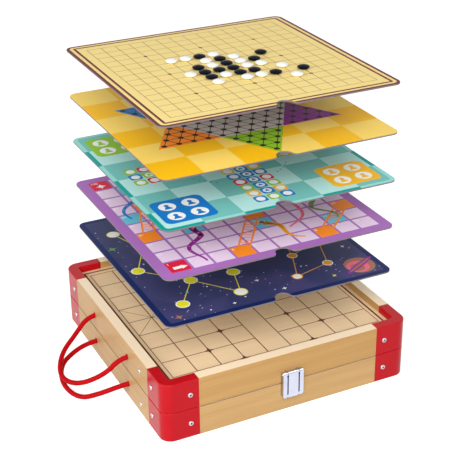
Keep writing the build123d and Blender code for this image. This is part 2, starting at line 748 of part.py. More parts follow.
# A game half played: column and row of each stone, counted from the middle of the board.
black_stones = [(-1, 2), (0, 1), (3, 1), (-2, 0), (0, 0), (2, 0), (-2, -1), (-1, -1), (0, -1),
                (-2, -2), (0, -2), (1, -2), (2, -3), (4, -3)]
white_stones = [(-3, 2), (-2, 2), (0, 2), (-1, 1), (1, 1), (-1, 0), (1, 0), (-3, -1), (1, -1), (2, -1),
                (-1, -2), (3, -2), (-2, -3), (0, -3), (1, -3), (3, -4)]
for name, crossings in {"black_stones": black_stones, "white_stones": white_stones}.items():
    with BuildPart() as stones:
        with Locations(*[(column * grid_pitch, row * grid_pitch, gomoku_top + stone_gap)
                         for column, row in crossings]):
            add(stone.part)
    stones.part.label = name
    export_step(stones.part, f"parts/{name}.step")
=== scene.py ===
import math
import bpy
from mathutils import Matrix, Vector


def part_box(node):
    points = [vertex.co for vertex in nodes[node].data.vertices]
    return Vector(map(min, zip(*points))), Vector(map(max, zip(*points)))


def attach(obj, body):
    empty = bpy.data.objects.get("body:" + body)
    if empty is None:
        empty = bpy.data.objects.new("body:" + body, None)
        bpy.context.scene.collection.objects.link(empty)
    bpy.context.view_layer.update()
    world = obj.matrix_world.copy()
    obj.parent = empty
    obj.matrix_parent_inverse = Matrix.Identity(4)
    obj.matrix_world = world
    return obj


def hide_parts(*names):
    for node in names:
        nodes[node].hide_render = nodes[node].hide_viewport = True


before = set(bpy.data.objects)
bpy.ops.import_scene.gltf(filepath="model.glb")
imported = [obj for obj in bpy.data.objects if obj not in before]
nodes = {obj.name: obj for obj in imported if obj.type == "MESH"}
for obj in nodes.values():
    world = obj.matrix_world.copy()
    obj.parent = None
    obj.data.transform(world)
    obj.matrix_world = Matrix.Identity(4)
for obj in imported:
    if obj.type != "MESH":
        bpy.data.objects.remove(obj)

# %% [markdown]
# # A games compendium box
#
# The box is two wooden trays with red moulded corners, a chrome clasp and a red rope handle on
# each tray. Five printed boards hang above its lid, and black and white stones lie on the
# uppermost. The solid parts come from the CAD frame and keep their shape. This file gives them
# their finishes, prints the boards, lays the ropes and lights the scene.

MM = 0.001
QUARTER = math.pi / 2
WHITE = (1.0, 1.0, 1.0)
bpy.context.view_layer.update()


def mid_height(node):
    """The height of the middle of a CAD node."""
    low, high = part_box(node)
    return (low[2] + high[2]) / 2


def new_object(name, data):
    """A new object in the scene."""
    thing = bpy.data.objects.new(name, data)
    bpy.context.scene.collection.objects.link(thing)
    return thing


# %% [markdown]
# ## The camera
#
# A camera could be aimed with an empty as its target. Here the place and the three angles are
# numbers, because the view is a known one: from the front left and above, far enough away that
# the boards' edges stay almost parallel. The lens follows from the focal length in pixels, the
# frame's width in pixels and the 36 mm sensor.

# %% Camera
FRAME_PIXELS = 460
FOCAL_PIXELS = 1202.5
SENSOR_WIDTH = 36.0
CAMERA_PLACE = Vector((-518.0, -1070.1, 738.7)) * MM
CAMERA_TURN = math.radians(25.912)       # from straight ahead (+Y) towards +X
CAMERA_DIP = math.radians(26.492)        # below the horizon
CAMERA_ROLL = math.radians(-0.616)

camera_data = bpy.data.cameras.new("camera")
camera = new_object("camera", camera_data)
camera_data.sensor_width = SENSOR_WIDTH
camera_data.lens = FOCAL_PIXELS / FRAME_PIXELS * SENSOR_WIDTH
placing = Matrix.Translation(CAMERA_PLACE)
for angle, axis in ((-CAMERA_TURN, "Z"), (QUARTER - CAMERA_DIP, "X"), (CAMERA_ROLL, "Z")):
    placing = placing @ Matrix.Rotation(angle, 4, axis)
camera.matrix_world = placing
bpy.context.scene.camera = camera
print("lens", round(camera_data.lens, 2), "mm")

# %% [markdown]
# ## Helpers for shader nodes
#
# Each finish is a tree of shader nodes. They could be placed and wired one by one, as in the
# shader editor, but that hides the few that matter. These helpers take sockets and plain values
# alike, and find the tree from the sockets that they are given.


# %% Feeding and placing nodes
def feed(socket, value):
    """Links an output to an input, or sets the input to a number, a vector or a colour."""
    if isinstance(value, bpy.types.NodeSocket):
        socket.id_data.links.new(value, socket)
    elif socket.type == "RGBA":
        socket.default_value = (*value, 1)
    else:
        socket.default_value = value


def feed_all(node, **values):
    """Feeds a node's inputs by name, in small letters and with underscores for spaces."""
    named = {socket.name.lower().replace(" ", "_"): socket for socket in node.inputs.values()[::-1]}
    for name, value in values.items():
        feed(named[name], value)
    return node


def place_node(tree, kind, **values):
    """A new shader node in a tree, with some of its inputs fed."""
    return feed_all(tree.nodes.new("ShaderNode" + kind), **values)


def tree_of(*values):
    """The node tree of the first socket among some values."""
    return next(value.id_data for value in values if isinstance(value, bpy.types.NodeSocket))


def calc(operation, *values):
    """A Math node's result."""
    node = place_node(tree_of(*values), "Math")
    node.operation = operation
    for socket, value in zip(node.inputs, values):
        feed(socket, value)
    return node.outputs[0]


def all_of(first, *others):
    """The product of masks: 1 where each of them is 1."""
    for mask in others:
        first = calc("MULTIPLY", first, mask)
    return first


def between(value, low, high):
    """1 where a value lies between two numbers."""
    return all_of(calc("GREATER_THAN", value, low), calc("LESS_THAN", value, high))


def within(value, reach):
    """1 where a value is less than a number away from nought, on either side."""
    return calc("LESS_THAN", calc("ABSOLUTE", value), reach)


def mixed(factor, low, high):
    """A colour between two others."""
    node = place_node(tree_of(factor, low, high), "Mix")
    node.data_type = "RGBA"
    for index, value in ((0, factor), (6, low), (7, high)):
        feed(node.inputs[index], value)
    return node.outputs[2]


# %% Places, noise and bump
def coordinates(tree):
    """The outputs of a Texture Coordinate node."""
    return place_node(tree, "TexCoord").outputs


def split(vector):
    """A vector's X, Y and Z."""
    return place_node(tree_of(vector), "SeparateXYZ", vector=vector).outputs


def mapped(vector, **values):
    """A vector after a Mapping node with the given location, rotation or scale."""
    return place_node(tree_of(vector), "Mapping", vector=vector, **values).outputs[0]


def noise(vector, scale, detail=2.0, distortion=0.0):
    """A cloudy value from 0 to 1."""
    return place_node(tree_of(vector), "TexNoise", vector=vector, scale=scale, detail=detail,
                      distortion=distortion).outputs["Fac"]


def ramp(value, low, high):
    """0 up to one number, 1 from another on, and a straight slope between."""
    return place_node(tree_of(value), "MapRange", value=value, from_min=low, from_max=high).outputs[0]


def bump_into(shader, height, strength, depth):
    """Feeds a height to the shader's normal."""
    bump = place_node(shader.id_data, "Bump", height=height, strength=strength, distance=depth)
    feed(shader.inputs["Normal"], bump.outputs[0])


# %% Materials and groups
def new_material(name, **values):
    """A material with a Principled shader, some of its inputs fed; gives both."""
    material = bpy.data.materials.new(name)
    material.use_nodes = True
    return material, feed_all(material.node_tree.nodes["Principled BSDF"], **values)


def dress(names, material):
    """Gives CAD nodes a material."""
    for name in names:
        slots = nodes[name].data.materials
        slots.clear()
        slots.append(material)
    print(material.name, "on", len(names), "nodes")


def new_group(name, inputs, outputs):
    """A shader node group; gives it, its input sockets and its output node.

    An input is a number, a colour, or a vector where it is None. Outputs are numbers, but for
    the one called Color.
    """
    group = bpy.data.node_groups.new(name, "ShaderNodeTree")
    for label, value in inputs.items():
        kind = "Vector" if value is None else "Color" if isinstance(value, tuple) else "Float"
        socket = group.interface.new_socket(name=label, in_out="INPUT", socket_type="NodeSocket" + kind)
        if value is not None:
            socket.default_value = (*value, 1) if kind == "Color" else value
    for label in outputs:
        kind = "Color" if label == "Color" else "Float"
        group.interface.new_socket(name=label, in_out="OUTPUT", socket_type="NodeSocket" + kind)
    print("group", name, "gives", *outputs)
    return group, group.nodes.new("NodeGroupInput").outputs, group.nodes.new("NodeGroupOutput")


def use_group(tree, group, **values):
    """Places a group in a tree and feeds its inputs; gives its outputs."""
    node = tree.nodes.new("ShaderNodeGroup")
    node.node_tree = group
    return feed_all(node, **values).outputs


# %% [markdown]
# ## The stage: floor, world and lamps
#
# A product picture on white could be lit until the floor burns out, but that bleaches the object
# too. So the lamps stay plain, and the white comes from the Light Path: rays that reach the world
# or the floor straight from the camera, or by way of metal or glass, see white, and the floor
# still darkens where the box shades it.

# %% Plain colour management
bpy.context.scene.view_settings.view_transform = "Standard"


# %% World
def emptied_tree(owner):
    """The node tree of a world or a material, with nothing in it."""
    owner.use_nodes = True
    owner.node_tree.nodes.clear()
    return owner.node_tree


def seen_rays(tree):
    """1 for rays from the camera, from metal and through glass, which should meet white."""
    path = place_node(tree, "LightPath").outputs
    straight = calc("MAXIMUM", path["Is Camera Ray"], path["Is Glossy Ray"])
    return calc("MAXIMUM", straight, path["Is Transmission Ray"])


AMBIENT = 0.24
world = bpy.data.worlds.new("studio")
bpy.context.scene.world = world
world_tree = emptied_tree(world)
choose = world_tree.nodes.new("ShaderNodeMixShader")
feed(choose.inputs[0], seen_rays(world_tree))
for index, strength in ((1, AMBIENT), (2, 1.0)):
    backdrop = place_node(world_tree, "Background", color=WHITE, strength=strength)
    feed(choose.inputs[index], backdrop.outputs[0])
place_node(world_tree, "OutputWorld", surface=choose.outputs[0])
print("world light", AMBIENT)

# %% Floor
FLOOR_SIZE = 30.0
FLOOR_GAP = 0.02 * MM                    # keeps the floor clear of the box's underside
FLOOR_GREY = (0.55, 0.55, 0.55)
FLOOR_LIFT = 0.76                        # white added for the rays that should see it
bpy.ops.object.select_all(action="DESELECT")
floor_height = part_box("base_panel")[0][2] - FLOOR_GAP
bpy.ops.mesh.primitive_plane_add(size=FLOOR_SIZE, location=(0, 0, floor_height))
floor = bpy.context.object
floor.name = "floor"
floor_paint = bpy.data.materials.new("floor_white")
floor_tree = emptied_tree(floor_paint)
matt = place_node(floor_tree, "BsdfDiffuse", color=FLOOR_GREY)
lift = calc("MULTIPLY", seen_rays(floor_tree), FLOOR_LIFT)
glow = place_node(floor_tree, "Emission", color=WHITE, strength=lift)
both = floor_tree.nodes.new("ShaderNodeAddShader")
feed(both.inputs[0], matt.outputs[0])
feed(both.inputs[1], glow.outputs[0])
place_node(floor_tree, "OutputMaterial", surface=both.outputs[0])
floor.data.materials.append(floor_paint)
print("floor", FLOOR_SIZE, "m wide")

# %% Lamps
MIDDLE = Vector((0, 0, 0.12))            # of the box and its lifted boards


def soft_lamp(name, place, side, watts):
    """A square area lamp turned towards the middle of the object."""
    lamp = bpy.data.lights.new(name, "AREA")
    lamp.size = side
    lamp.energy = watts
    thing = new_object(name, lamp)
    thing.location = place
    thing.rotation_euler = (MIDDLE - Vector(place)).to_track_quat("-Z", "Y").to_euler()
    print(name, watts, "W")


soft_lamp("edge_light", (0.75, -0.9, 1.85), 0.6, 5)
soft_lamp("near_camera", (-0.95, -1.85, 1.45), 1.6, 61)
soft_lamp("left_fill", (-2.2, -0.3, 1.15), 1.2, 25)

# %% [markdown]
# ## Shared shader groups
#
# Several finishes need fine unevenness in the gloss, and the boards the distance in from the
# edge. Each effect is one node group, used with different numbers. A group gives out only masks,
# colours and heights, and the Principled shader stays in each material.

# %% Group: fine unevenness of a smooth finish
uneven, given, result = new_group(
    "uneven_finish", {"Scale": 60.0, "Roughness": 0.3, "Spread": 0.1}, ["Roughness", "Height"])
cloud = noise(coordinates(uneven)["Object"], given["Scale"], 5.0)
swing = calc("MULTIPLY", calc("SUBTRACT", cloud, 0.5), given["Spread"])
feed_all(result, roughness=calc("ADD", swing, given["Roughness"]), height=cloud)


def wandering_gloss(shader, scale, roughness, spread, strength=0.0, depth=0.2 * MM):
    """Lets the gloss of a finish drift, with a faint bump to match; gives the drift's height."""
    drift = use_group(shader.id_data, uneven, scale=scale, roughness=roughness, spread=spread)
    feed(shader.inputs["Roughness"], drift["Roughness"])
    if strength:
        bump_into(shader, drift["Height"], strength, depth)
    return drift["Height"]


# %% Group: distance in from the edge of a rounded square
edge_group, given, result = new_group(
    "edge_distance", {"Half size": 0.131, "Corner": 0.009}, ["Distance"])
straight = calc("SUBTRACT", given["Half size"], given["Corner"])
beyond = [calc("SUBTRACT", calc("ABSOLUTE", axis), straight)
          for axis in split(coordinates(edge_group)["Object"])[:2]]
squared = [calc("POWER", calc("MAXIMUM", way, 0.0), 2.0) for way in beyond]
outer = calc("SQRT", calc("ADD", *squared))
inner = calc("MINIMUM", calc("MAXIMUM", *beyond), 0.0)
feed_all(result, distance=calc("SUBTRACT", given["Corner"], calc("ADD", outer, inner)))

# %% [markdown]
# ## The wood of the trays
#
# The slats are pine under a thin satin lacquer: honey colour, fine straight grain, a few darker
# streaks and a slow drift in tone. An image would repeat and blur; a noise stretched along the
# slat gives grain of any length, so a broad, a middling and a fine one are added up, turned to
# each slat. Faces that look up, told apart by the object's normal, get paler painted light.

# %% Group: pine
pine_group, given, result = new_group(
    "pine_grain", {"Vector": None, "Light": (0.80, 0.56, 0.27), "Dark": (0.60, 0.36, 0.13),
                   "Strength": 1.0}, ["Color", "Height"])


def long_noise(along, across, detail, distortion=0.0):
    """A noise drawn out along X, with so many features per metre along and across."""
    return noise(mapped(given["Vector"], scale=(along, across, across)), 1.0, detail, distortion)


drift = long_noise(3.0, 16.0, 2.0)
streaks = long_noise(5.0, 130.0, 3.0, 0.4)
fibre = long_noise(30.0, 1100.0, 4.0)
grain = calc("ADD", calc("MULTIPLY", drift, 0.9), calc("MULTIPLY", streaks, 1.1))
grain = calc("ADD", grain, calc("MULTIPLY", fibre, 0.8))
grain = calc("MULTIPLY", calc("SUBTRACT", grain, 0.9), given["Strength"])
feed_all(result, color=mixed(grain, given["Light"], given["Dark"]), height=fibre)

# %% Group: a slat's colour, with painted light where it faces up and painted shade in the joint of the trays
# Painted light: a pale tint for faces that look up, as if lit from above.
TOP_LIGHT_TINT = (0.97, 0.80, 0.58)
TOP_LIGHT_SHARE = 0.92
SEAM_HEIGHT = (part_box("base_front_wall")[1][2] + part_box("lid_front_wall")[0][2]) / 2
SEAM_HALF = 0.62 * MM                    # takes in the eased edges either side of the joint
# Painted shade: dark brown for the shaded gap in the joint of the trays.
SEAM_SHADE = (0.10, 0.045, 0.018)
slat_group, given, result = new_group("planed_and_joined", {"Color": WHITE}, ["Color"])
where = coordinates(slat_group)
facing = split(where["Normal"])["Z"]
height = split(where["Object"])["Z"]
lit_top = mixed(TOP_LIGHT_SHARE, given["Color"], TOP_LIGHT_TINT)
# Painted light: the upward faces take the pale tint.
colour = mixed(ramp(facing, 0.90, 0.99), given["Color"], lit_top)
in_joint = between(height, SEAM_HEIGHT - SEAM_HALF, SEAM_HEIGHT + SEAM_HALF)
# Painted shade: the outer faces in the joint turn dark brown.
feed_all(result, color=mixed(all_of(in_joint, within(facing, 0.9)), colour, SEAM_SHADE))


# %% Wood materials
def pine_material(name, turn, light, dark, roughness, cut=None):
    """Pine with its grain along X turned about Z; a slat has its own cut, painted light on its upper faces
    and painted shade in its joint.
    """
    material, shader = new_material(name, specular_ior_level=0.3)
    tree = shader.id_data
    along = mapped(coordinates(tree)["Object"], rotation=(0, 0, turn), location=cut or (0, 0, 0))
    wood = use_group(tree, pine_group, vector=along, light=light, dark=dark)
    # A slat's colour gets painted light on its upper faces and painted shade in the joint.
    finish = use_group(tree, slat_group, color=wood["Color"]) if cut else wood
    feed(shader.inputs["Base Color"], finish["Color"])
    wandering_gloss(shader, 40.0, roughness, 0.18)
    bump_into(shader, wood["Height"], 0.25, 0.2 * MM)
    return material


HONEY, AMBER = (0.58, 0.345, 0.122), (0.46, 0.250, 0.082)
# The base's walls are a paler pine; the left walls of both trays get the same paler colours as painted light
# on that side.
PALE_OR_LIT_HONEY, PALE_OR_LIT_AMBER = (0.60, 0.375, 0.155), (0.48, 0.275, 0.105)
slats = {"front": (0.0, 0.0, 0.0), "rear": (0.0, 0.7, 0.2),
         "left": (QUARTER, 0.3, 0.1), "right": (QUARTER, 0.1, 0.5)}
for side, (turn, cut_x, cut_y) in slats.items():
    for tray, cut_z in (("base", 0.31), ("lid", 0.0)):
        pale_base_or_lit_left = tray == "base" or side == "left"
        light, dark = (PALE_OR_LIT_HONEY, PALE_OR_LIT_AMBER) if pale_base_or_lit_left else (HONEY, AMBER)
        pine = pine_material(f"pine_{tray}_{side}", turn, light, dark, 0.42, (cut_x, cut_y, cut_z))
        dress([f"{tray}_{side}_wall"], pine)
BARE = (0.78, 0.58, 0.34), (0.62, 0.42, 0.22)
dress(["base_panel", "divider_cross", "lid_batten"], pine_material("bare_plywood", 0.0, *BARE, 0.65))
dress(["divider_left", "divider_right", "divider_front"],
      pine_material("bare_plywood_across", QUARTER, *BARE, 0.65))

# %% [markdown]
# ## The moulded corners
#
# The corners are glossy red plastic. A moulding is never a perfect mirror: it has a slight orange
# peel and the gloss drifts a little, so a fine noise feeds both the roughness and a faint bump.

# %% Red plastic
red_plastic, shader = new_material("red_plastic", base_color=(0.49, 0.002, 0.009), specular_ior_level=0.15,
                                   coat_weight=0.05, coat_roughness=0.12)
wandering_gloss(shader, 140.0, 0.24, 0.12, 0.12, 0.3 * MM)
dress([name for name in nodes if "_corner_" in name and "screws" not in name], red_plastic)


# %% [markdown]
# ## Metal: screws, hinges and clasp
#
# The screws and hinges are zinc plated, the clasp is chrome. What tells them apart is the
# roughness and how far it wanders. The grooves of the clasp's lever and the flat behind it
# reflect little but each other, so a mask paints shade into them.

# %% Metals
def metal(name, colour, roughness, spread, scale):
    """A metal with wandering gloss and faint scratches in its normal; gives it and its shader."""
    material, shader = new_material(name, base_color=colour, metallic=1.0)
    wandering_gloss(shader, scale, roughness, spread, 0.08)
    return material, shader


CHROME = (0.70, 0.73, 0.84), 0.18, 0.1, 120.0
dress([name for name in nodes if "screws" in name or "hinge" in name],
      metal("zinc_plate", (0.55, 0.56, 0.59), 0.30, 0.2, 300.0)[0])
dress(["latch_pin", "latch_plate_rivets", "latch_catch_rivets"], metal("chrome", *CHROME)[0])

# %% Group: recesses, a mask of strips up the front of a stamped sheet, for painted shade
recess_shade_group, given, result = new_group(
    "recess_shade", {"Middle": 0.0, "Half": 0.001, "Front": 0.0, "Back": 0.001}, ["Mask"])
where = coordinates(recess_shade_group)
x, y = split(where["Object"])[:2]
aside = calc("SUBTRACT", calc("ABSOLUTE", x), given["Middle"])
not_back = calc("LESS_THAN", split(where["Normal"])["Y"], 0.3)
in_strips = all_of(within(aside, given["Half"]), between(y, given["Front"], given["Back"]))
feed_all(result, mask=all_of(in_strips, not_back))

# %% Chrome with painted shade in its recesses: the lever's two grooves, and the plates between their raised rails
PLATE_SHEET = 1.2 * MM
lever_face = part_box("latch_lever")[0][1]
plate_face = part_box("latch_catch")[1][1] - PLATE_SHEET
for name, names, middle, half, face, above, below in (
        ("chrome_lever", ["latch_lever"], 6.6, 0.76, lever_face, -0.12, 1.05),
        ("chrome_plate", ["latch_plate", "latch_catch"], 0.0, 10.7, plate_face, 0.1, 0.1)):
    material, shader = metal(name, *CHROME)
    mask = use_group(shader.id_data, recess_shade_group, middle=middle * MM, half=half * MM,
                     front=face - above * MM, back=face + below * MM)["Mask"]
    cloud = use_group(shader.id_data, uneven, scale=90.0, roughness=0.5, spread=0.6)["Roughness"]
    bright = mixed(cloud, (0.44, 0.47, 0.60), (0.66, 0.69, 0.82))
    # Painted shade: the masked recesses turn near black.
    feed(shader.inputs["Base Color"], mixed(mask, bright, (0.035, 0.035, 0.045)))
    dress(names, material)

# %% [markdown]
# ## The screws' sockets
#
# A pan-head screw's hexagon socket looks nearly black, because light has little way out of it.
# The CAD screws have the sockets; a small near-black hexagon of painted shade lies in each. They
# are added one by one in edit mode and extruded inwards.


# %% A new mesh in edit mode
def edit_new_mesh(name, materials):
    """An empty mesh with its materials, selected alone and in edit mode."""
    mesh = bpy.data.meshes.new(name)
    thing = new_object(name, mesh)
    for material in materials:
        mesh.materials.append(material)
    bpy.ops.object.select_all(action="DESELECT")
    thing.select_set(True)
    bpy.context.view_layer.objects.active = thing
    bpy.ops.object.mode_set(mode="EDIT")
    return thing


def close_shapes(extrude, **how):
    """Extrudes all the flat shapes being edited, turns their faces outwards and ends edit mode."""
    bpy.ops.mesh.select_all(action="SELECT")
    extrude(**how)
    bpy.ops.mesh.select_all(action="SELECT")
    bpy.ops.mesh.normals_make_consistent(inside=False)
    bpy.ops.object.mode_set(mode="OBJECT")


def ride_along(thing, body):
    """Lets a finished mesh ride on a body."""
    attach(thing, body)
    print(thing.name, len(thing.data.polygons), "faces")


# %% Painted shade: dark hexagons in the sockets
SOCKET_RADIUS = 1.2 * MM
SOCKET_DEPTH = 0.3 * MM
SOCKET_OUT = 1.1                         # out of the wall's face, in millimetres as all that follow
HALF_BOX = 145.0
SCREW_ALONG = 115.0                      # the corners' screws, from the middle of a side
WALL_SCREW_BACK = -84.0
WALL_SCREW_HEIGHTS = {"base": 12.0, "lid": 53.2}
# Painted shade: near black, a little uneven, for the shade inside the sockets.
socket_shade, shader = new_material("socket_grime", specular_ior_level=0.1)
cloud = wandering_gloss(shader, 900.0, 0.6, 0.3)
feed(shader.inputs["Base Color"], mixed(cloud, (0.006, 0.006, 0.007), (0.03, 0.028, 0.026)))
facings = {(0, -1): (QUARTER, 0, 0), (0, 1): (-QUARTER, 0, 0),
           (-1, 0): (0, -QUARTER, 0), (1, 0): (0, QUARTER, 0)}
for tray, wall_screw_height in WALL_SCREW_HEIGHTS.items():
    rise = mid_height(f"{tray}_front_wall") / MM
    sockets = edit_new_mesh(f"{tray}_screw_sockets", [socket_shade])
    for (out_x, out_y), turn in facings.items():
        face_x, face_y = out_x * (HALF_BOX + SOCKET_OUT), out_y * (HALF_BOX + SOCKET_OUT)
        spots = [(face_x + along * abs(out_y), face_y + along * abs(out_x), rise)
                 for along in (-SCREW_ALONG, SCREW_ALONG)]
        if out_x:
            spots.append((face_x, WALL_SCREW_BACK, wall_screw_height))
        for spot in spots:
            bpy.ops.mesh.primitive_circle_add(vertices=6, radius=SOCKET_RADIUS, fill_type="NGON",
                                              location=[value * MM for value in spot], rotation=turn)
    close_shapes(bpy.ops.mesh.extrude_region_shrink_fatten,
                 TRANSFORM_OT_shrink_fatten={"value": -SOCKET_DEPTH})
    ride_along(sockets, tray)

# %% [markdown]
# ## The rope handles
#
# Each handle is a red braided cord about 5 mm thick whose ends pass through the wall to a knot
# inside. A bevelled curve would give a smooth tube, but a braid winds. So the cord's line is read
# from a NURBS spline, and rings of points are carried along it without twisting. Each ring's
# radius rises and falls with two families of helices, which makes the diamonds of a braid.

# %% Rope routes, the same as in the CAD model
KNOT_SEAT = -12.1                        # the knot's face, out of the wall's outer face
HALF_SPACING = 49.0
rope_routes = {
    "base": [(KNOT_SEAT, HALF_SPACING, 0), (8, HALF_SPACING, 0), (29, 42, -2), (51, 26, -5), (60, -5, -10),
             (51, -34, -13), (30, -46, -5), (8, -HALF_SPACING, 0), (KNOT_SEAT, -HALF_SPACING, 0)],
    "lid": [(KNOT_SEAT, HALF_SPACING, 0), (8, HALF_SPACING, 0), (27, 39, -13), (51, 22, -23), (63, -7, -33),
            (51, -34, -30), (25, -50, -14), (8, -HALF_SPACING, 0), (KNOT_SEAT, -HALF_SPACING, 0)],
}
left_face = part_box("lid_left_wall")[0][0]
print("ropes leave the wall at x", round(left_face / MM, 1), "mm")


# %% From a route to a smooth line
def length_of(line):
    """The length of a line of points."""
    return sum((b - a).length for a, b in zip(line, line[1:]))


def smooth_line(name, points):
    """The points along one open NURBS spline through a route."""
    curve = bpy.data.curves.new(name, "CURVE")
    curve.dimensions = "3D"
    curve.resolution_u = 24
    spline = curve.splines.new("NURBS")
    spline.points.add(len(points) - 1)
    for target, point in zip(spline.points, points):
        target.co = (*point, 1)
    spline.order_u = 3
    spline.use_endpoint_u = True
    holder = new_object(name, curve)
    bpy.context.view_layer.update()
    mesh = bpy.data.meshes.new_from_object(holder)
    line = [vertex.co.copy() for vertex in mesh.vertices]
    bpy.data.objects.remove(holder)
    bpy.data.meshes.remove(mesh)
    return line


def even_points(line, step):
    """Points about a step apart along a line of points, both ends among them."""
    count = round(length_of(line) / step)
    gap = length_of(line) / count
    spaced, due = [line[0]], gap         # due counts from the start of each run
    for start, end in zip(line, line[1:]):
        run = (end - start).length
        while due < run:
            spaced.append(start.lerp(end, due / run))
            due += gap
        due -= run
    return spaced[:count] + [line[-1]]


# %% A braided cord along a line
ROPE_RADIUS = 2.6 * MM
BRAID_DEPTH = 0.09 * MM
BRAID_STARTS = 8                         # carriers each way round
BRAID_PITCH = 22 * MM
RING_POINTS = 48
RING_STEP = 0.45 * MM


def braid_radius(angle, phase):
    """The cord's radius, which rises over strands that wind one way and the other."""
    over, under = (math.sin(BRAID_STARTS * (angle + way) / 2) ** 2 for way in (phase, -phase))
    return ROPE_RADIUS - BRAID_DEPTH + BRAID_DEPTH * 2 * max(over, under)


def braided_cord(name, line):
    """A closed tube with a diamond braid, its UV map running round and along the cord."""
    centre = even_points(line, RING_STEP)
    rings = len(centre)
    side = (centre[1] - centre[0]).orthogonal()
    vertices = []
    for ring, point in enumerate(centre):
        tangent = (centre[min(ring + 1, rings - 1)] - centre[max(ring - 1, 0)]).normalized()
        side = (side - tangent * side.dot(tangent)).normalized()
        other = tangent.cross(side)
        phase = 2 * math.pi * ring * RING_STEP / BRAID_PITCH
        for spoke in range(RING_POINTS):
            angle = 2 * math.pi * spoke / RING_POINTS
            radius = braid_radius(angle, phase)
            vertices.append(point + side * math.cos(angle) * radius + other * math.sin(angle) * radius)
    faces = []
    for low in range(0, (rings - 1) * RING_POINTS, RING_POINTS):
        for spoke in range(RING_POINTS):
            after = (spoke + 1) % RING_POINTS
            faces.append((low + spoke, low + after, low + RING_POINTS + after, low + RING_POINTS + spoke))
    faces.append(tuple(reversed(range(RING_POINTS))))
    faces.append(tuple(range((rings - 1) * RING_POINTS, rings * RING_POINTS)))
    mesh = bpy.data.meshes.new(name)
    mesh.from_pydata(vertices, [], faces)
    uv = mesh.uv_layers.new(name="rope")
    for polygon in mesh.polygons:
        last_of_ring = polygon.index % RING_POINTS == RING_POINTS - 1
        for corner in polygon.loop_indices:
            ring, spoke = divmod(mesh.loops[corner].vertex_index, RING_POINTS)
            wrapped = RING_POINTS if last_of_ring and spoke == 0 else spoke
            uv.data[corner].uv = (wrapped / RING_POINTS, ring * RING_STEP / MM / 10)
    mesh.shade_smooth()
    return new_object(name, mesh)


# %% Rope material
rope_red, shader = new_material("red_braid", roughness=0.55, specular_ior_level=0.08, sheen_weight=0.03,
                                sheen_tint=(1.0, 0.45, 0.45))
yarn = noise(mapped(coordinates(shader.id_data)["UV"], scale=(60.0, 60.0, 1.0)), 1.0, 4.0)
feed(shader.inputs["Base Color"], mixed(yarn, (0.30, 0.0005, 0.003), (0.60, 0.001, 0.006)))
bump_into(shader, yarn, 0.35, 0.3 * MM)
dress(["base_rope_knots", "lid_rope_knots"], rope_red)

# %% Lay the two handles
for tray, route in rope_routes.items():
    hole_height = mid_height(f"{tray}_left_wall")
    points = [(left_face - out * MM, back * MM, hole_height + rise * MM) for out, back, rise in route]
    line = smooth_line(f"{tray}_rope_line", points)
    rope = braided_cord(f"{tray}_rope_handle", line)
    rope.data.materials.append(rope_red)
    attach(rope, tray)
    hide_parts(f"{tray}_rope")

# %% [markdown]
# ## The boards' card and its printing
#
# A board is grey card with a printed, satin-coated face and a bare back. Its print could be an
# image, but here each board's ground is a node pattern in its material, and what stands on it is
# printed in ink layers: thin flat shapes a few hundredths of a millimetre above the card, rooted
# in it. They stay sharp at any distance and can be recoloured one by one. The normal tells the
# top of the card from its edge and back.

# %% Group: satin card print
card_group, given, result = new_group(
    "card_print", {"Ink": (0.8, 0.8, 0.8), "Back": (0.4, 0.4, 0.4), "Edge": (0.2, 0.2, 0.2), "Mottle": 0.10},
    ["Color", "Roughness", "Height"])
where = coordinates(card_group)
fibres = noise(where["Object"], 900.0, 3.0)
speck = calc("ADD", calc("MULTIPLY", fibres, 0.5), calc("MULTIPLY", noise(where["Object"], 9.0), 0.5))
shade = calc("MULTIPLY", calc("SUBTRACT", speck, 0.5), given["Mottle"])
tinted = place_node(card_group, "HueSaturation", value=calc("ADD", shade, 1.0), color=given["Ink"])
facing = split(where["Normal"])["Z"]
unprinted = mixed(calc("LESS_THAN", facing, -0.5), given["Edge"], given["Back"])
feed_all(result, color=mixed(calc("GREATER_THAN", facing, 0.5), unprinted, tinted.outputs[0]),
         roughness=calc("ADD", 0.36, calc("MULTIPLY", speck, 0.14)), height=fibres)

# %% Group: ruled lines, a mask that is 1 on lines a pitch apart
ruled, given, result = new_group(
    "ruled_lines", {"Along": 0.0, "Pitch": 0.016, "Half line": 0.0003, "Phase": 0.0}, ["Mask"])
steps = calc("ADD", calc("DIVIDE", given["Along"], given["Pitch"]), given["Phase"])
off_line = calc("ABSOLUTE", calc("SUBTRACT", steps, calc("ROUND", steps)))
feed_all(result, mask=calc("LESS_THAN", calc("MULTIPLY", off_line, given["Pitch"]), given["Half line"]))

# %% Card materials
CARD_BACK = (0.40, 0.375, 0.35)
CARD_EDGE = (0.20, 0.165, 0.175)
BOARD_HALF = 131.0 * MM
BOARD_CORNER = 9.0 * MM
MAROON = (0.13, 0.012, 0.014)
TEAL = (0.0, 0.36, 0.32)


def new_board(node):
    """Gives a node its own material; gives the shader and the point's place, X and Y."""
    material, shader = new_material("print_" + node.removesuffix("_board"))
    dress([node], material)
    spot = coordinates(shader.id_data)["Object"]
    return shader, spot, *split(spot)[:2]


def print_with(shader, ink, mottle=0.10, back=CARD_BACK, edge=CARD_EDGE):
    """Gives a shader the colour, gloss and fibre of printed card."""
    printed = use_group(shader.id_data, card_group, ink=ink, back=back, edge=edge, mottle=mottle)
    feed_all(shader, base_color=printed["Color"], roughness=printed["Roughness"], specular_ior_level=0.10)
    bump_into(shader, printed["Height"], 0.06, 0.1 * MM)


def near_edge(spot, width):
    """1 in a band along the board's edge, its width in millimetres."""
    edge = use_group(spot.id_data, edge_group, half_size=BOARD_HALF, corner=BOARD_CORNER)["Distance"]
    return calc("LESS_THAN", edge, width * MM)


